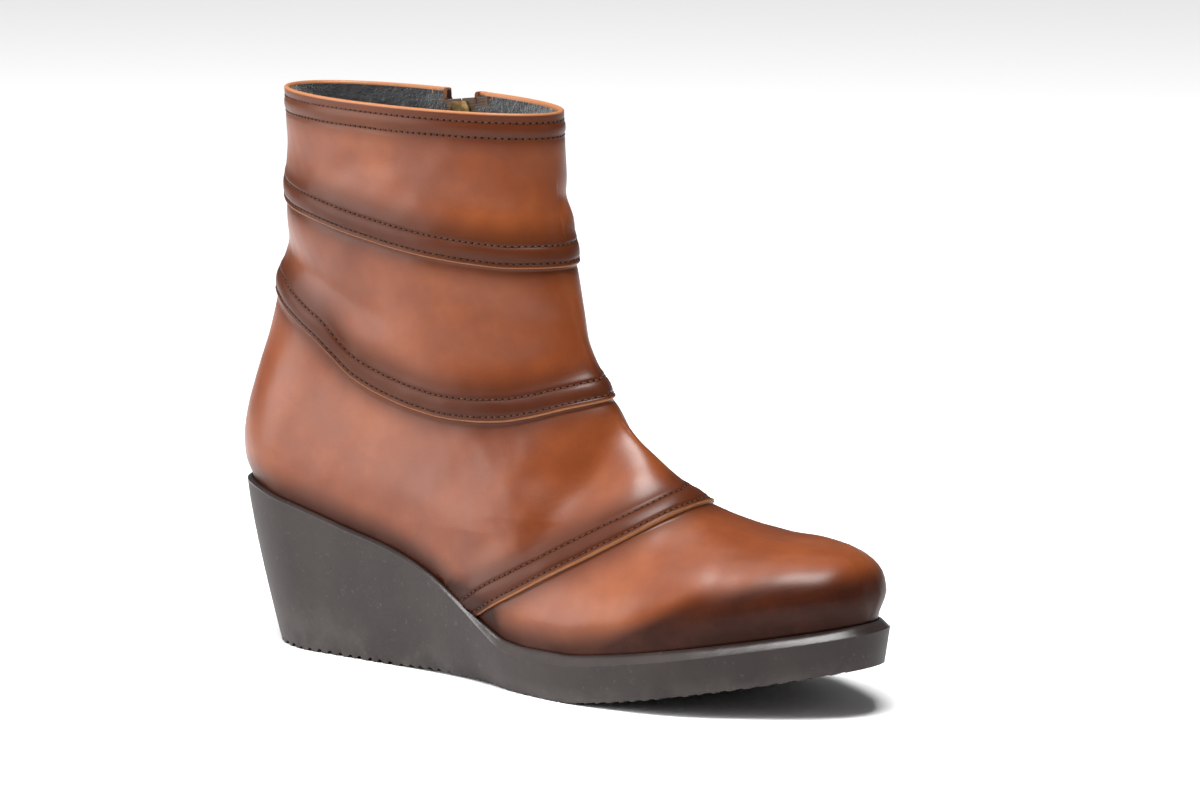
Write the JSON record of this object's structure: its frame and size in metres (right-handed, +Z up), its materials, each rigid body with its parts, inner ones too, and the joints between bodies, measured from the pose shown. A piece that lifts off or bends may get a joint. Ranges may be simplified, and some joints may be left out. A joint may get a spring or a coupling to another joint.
{
  "type": "ankle boot",
  "caption": "Ankle boot for the right foot: leather upper with raised panel seams, inside zip with a hinged pull tab, and a moulded rubber wedge sole with a ribbed tread.",
  "frame": {"origin": "under the middle of the boot's bounding box, on the ground", "axes": "+X from heel to toe, +Z up from the ground, +Y toward the inner side of the right foot, which has the zip"},
  "size_m": [0.2494, 0.087, 0.185],
  "materials": {
    "leather": "smooth chestnut brown leather with a soft gloss, darker beside the seams and above the sole",
    "rubber": "matt dark brown moulded rubber with a smooth bevelled rim",
    "insole_board": "board covered with black fleece",
    "zip_tape": "woven brown tape",
    "aged_brass": "dark aged brass, worn bright on its edges"
  },
  "bodies": {
    "boot": {"upper": "leather", "sole_unit": "rubber", "insole": "insole_board", "zip_tape_back": "zip_tape", "zip_tape_front": "zip_tape", "zip_teeth_back": "aged_brass", "zip_teeth_front": "aged_brass", "zip_slider": "aged_brass"},
    "pull_tab": {"zip_pull": "aged_brass"}
  },
  "joints": [
    {"name": "pull_hinge", "type": "hinge", "parent": "boot", "child": "pull_tab", "pos_m": [-0.05796, 0.0304, 0.17453], "axis": [0.992, -0.0595, 0.1116], "range_deg": [0, 150]}
  ]
}
